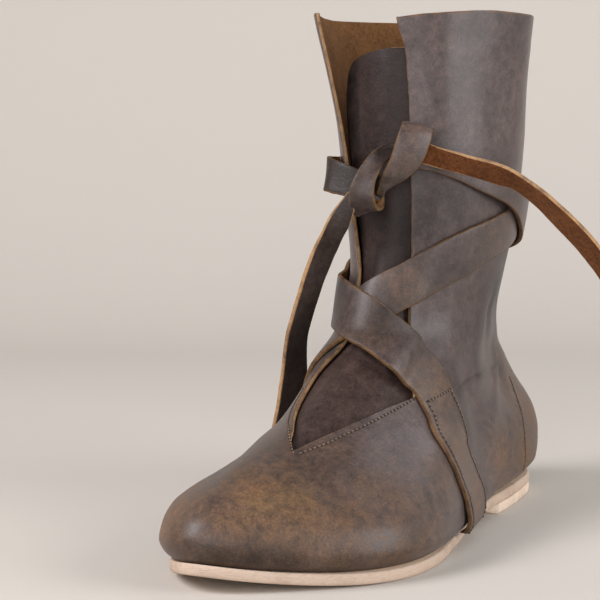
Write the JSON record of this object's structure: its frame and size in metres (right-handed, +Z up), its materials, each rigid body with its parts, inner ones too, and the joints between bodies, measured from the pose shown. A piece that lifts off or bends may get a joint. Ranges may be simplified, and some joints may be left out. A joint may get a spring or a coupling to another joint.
{
  "type": "lace-up boot",
  "caption": "Soft leather ankle boot for a left foot: hollow upper open down the front, tall tongue, pale flat sole with a low heel, and long straps that cross the instep and wrap the leg.",
  "frame": {"origin": "on the floor, below the middle of the boot without its knot and free strap ends", "axes": "+X towards the toe, +Y towards the wearer's left, which is the outer side, +Z up"},
  "size_m": [0.2519, 0.1549, 0.2125],
  "materials": {
    "sole_leather": "raw pale vegetable tanned",
    "insole_leather": "matt",
    "upper_leather": "oiled pull-up, soft sheen",
    "tongue_leather": "oiled, matt",
    "strap_leather": "oiled, tan raw edges",
    "strap_flesh": "suede flesh side"
  },
  "bodies": {
    "root": {"outsole": "sole_leather", "heel_lift": "sole_leather", "insole": "insole_leather", "upper": "upper_leather", "tongue": "tongue_leather", "strap_outer": "strap_leather", "strap_inner": "strap_leather", "knot": "strap_leather", "strap_end_outer": "strap_flesh", "strap_end_inner": "strap_leather"}
  },
  "joints": []
}
